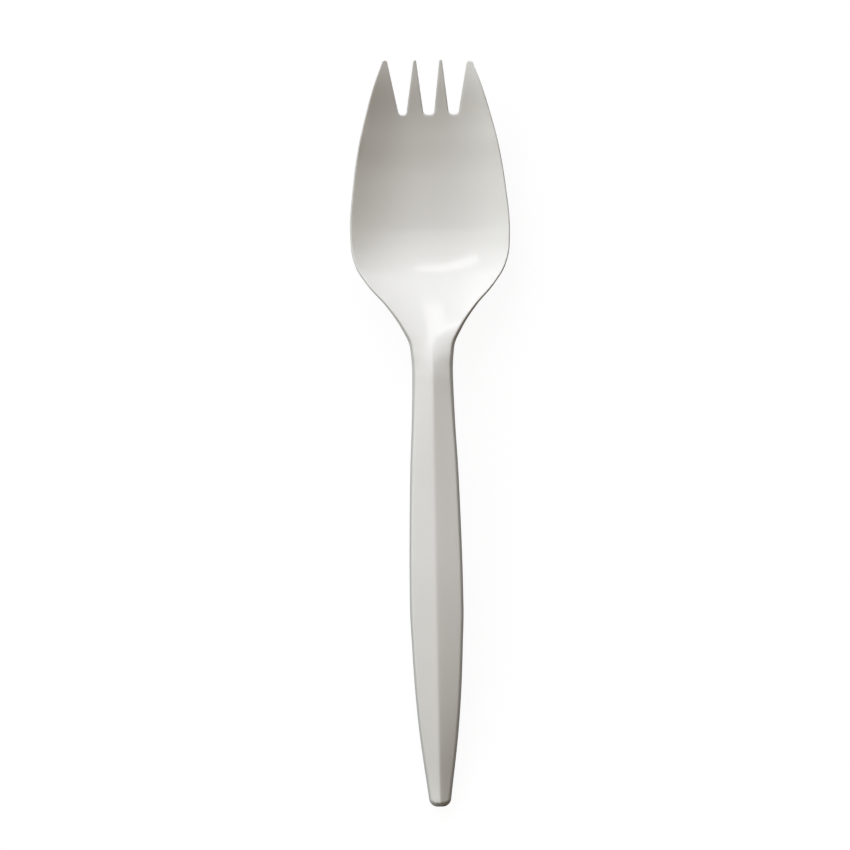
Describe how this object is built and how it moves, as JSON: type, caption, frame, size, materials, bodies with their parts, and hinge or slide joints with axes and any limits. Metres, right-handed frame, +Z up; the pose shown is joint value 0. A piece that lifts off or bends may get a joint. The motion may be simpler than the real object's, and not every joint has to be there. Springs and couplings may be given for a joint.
{
  "type": "spork",
  "caption": "Moulded plastic spork: a spoon bowl ending in short tines, with a hollow, ridge-backed handle that swells and tapers to a narrow end.",
  "frame": {"origin": "bottom centre of the bounding box, on the surface that the spork lies on", "axes": "+Y from the handle's end towards the tines, +Z up out of the open side of the bowl, +X to the right seen from above with the tines away"},
  "size_m": [0.0312, 0.146, 0.0125],
  "materials": {
    "plastic": "smooth glossy off-white moulded plastic"
  },
  "bodies": {
    "root": {"bowl": "plastic", "outer_tine_left": "plastic", "inner_tine_left": "plastic", "inner_tine_right": "plastic", "outer_tine_right": "plastic", "neck": "plastic", "handle": "plastic"}
  },
  "joints": []
}
